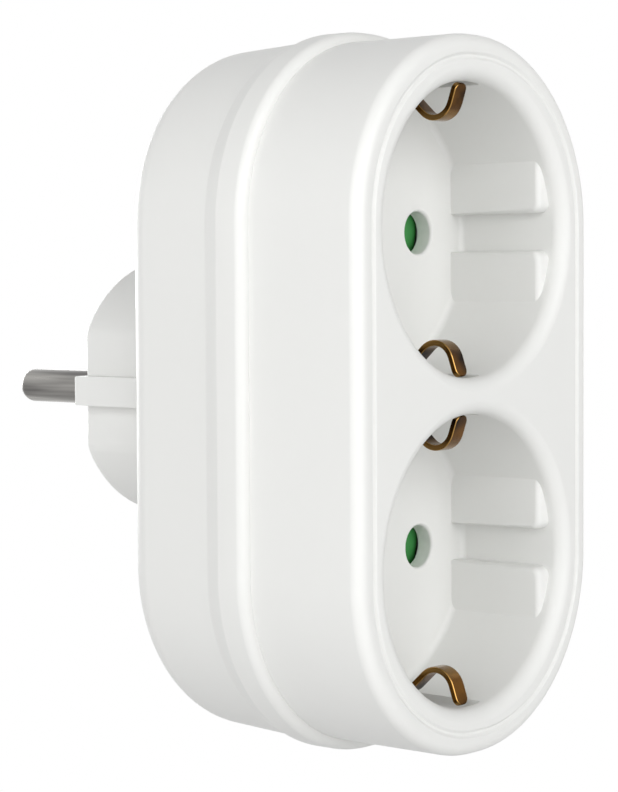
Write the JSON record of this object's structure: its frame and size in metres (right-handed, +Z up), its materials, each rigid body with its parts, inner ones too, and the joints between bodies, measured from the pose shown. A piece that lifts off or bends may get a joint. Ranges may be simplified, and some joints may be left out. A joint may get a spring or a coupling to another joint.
{
  "type": "multi socket adapter",
  "caption": "Upright rounded plug-in adapter with stacked, shuttered and earthed round-pin sockets on the front and a matching plug on the back.",
  "frame": {"origin": "centre of the plug's flat end face, midway between the two plug pins", "axes": "+Y out of the plug along its pins, away from the sockets; +Z up, from the lower socket to the upper one; +X to the right seen from the sockets' side"},
  "size_m": [0.0538, 0.0764, 0.0976],
  "materials": {
    "white_plastic": "glossy moulded thermoset, slightly warm white",
    "nickel_plate": "satin nickel plate on brass",
    "brass_sheet": "bare stamped sheet",
    "dark_bronze": "tarnished phosphor bronze spring strip",
    "green_plastic": "satin moulded",
    "grey_plastic": "satin moulded",
    "spring_steel": "bright spring steel",
    "zinc_steel": "zinc plated"
  },
  "bodies": {
    "housing": {"front_cover": "white_plastic", "rear_housing": "white_plastic", "plug_pin_left": "nickel_plate", "plug_pin_right": "nickel_plate", "plug_earth_strap": "nickel_plate", "earth_link": "brass_sheet", "earth_rivets": "brass_sheet", "contact_rivets": "brass_sheet", "pole_bar_left": "brass_sheet", "pole_bar_right": "brass_sheet", "upper_contact_clip_left": "brass_sheet", "upper_contact_clip_right": "brass_sheet", "lower_contact_clip_left": "brass_sheet", "lower_contact_clip_right": "brass_sheet", "upper_earth_bracket": "dark_bronze", "lower_earth_bracket": "dark_bronze", "upper_shutter_carrier": "grey_plastic", "lower_shutter_carrier": "grey_plastic", "upper_shutter_spring": "spring_steel", "lower_shutter_spring": "spring_steel", "housing_screws": "zinc_steel"},
    "upper_rotor": {"upper_shutter": "green_plastic"},
    "lower_rotor": {"lower_shutter": "green_plastic"}
  },
  "joints": [
    {"name": "upper_shutter_turn", "type": "hinge", "parent": "housing", "child": "upper_rotor", "pos_m": [0, -0.0362, 0.0219], "axis": [0, -1, 0], "range_deg": [0, 42], "stiffness_Nm_per_rad": 0.003, "springref_deg": -17.19, "deforming": ["upper_shutter_spring"]},
    {"name": "lower_shutter_turn", "type": "hinge", "parent": "housing", "child": "lower_rotor", "pos_m": [0, -0.0362, -0.0219], "axis": [0, -1, 0], "range_deg": [0, 42], "stiffness_Nm_per_rad": 0.003, "springref_deg": -17.19, "deforming": ["lower_shutter_spring"]}
  ]
}
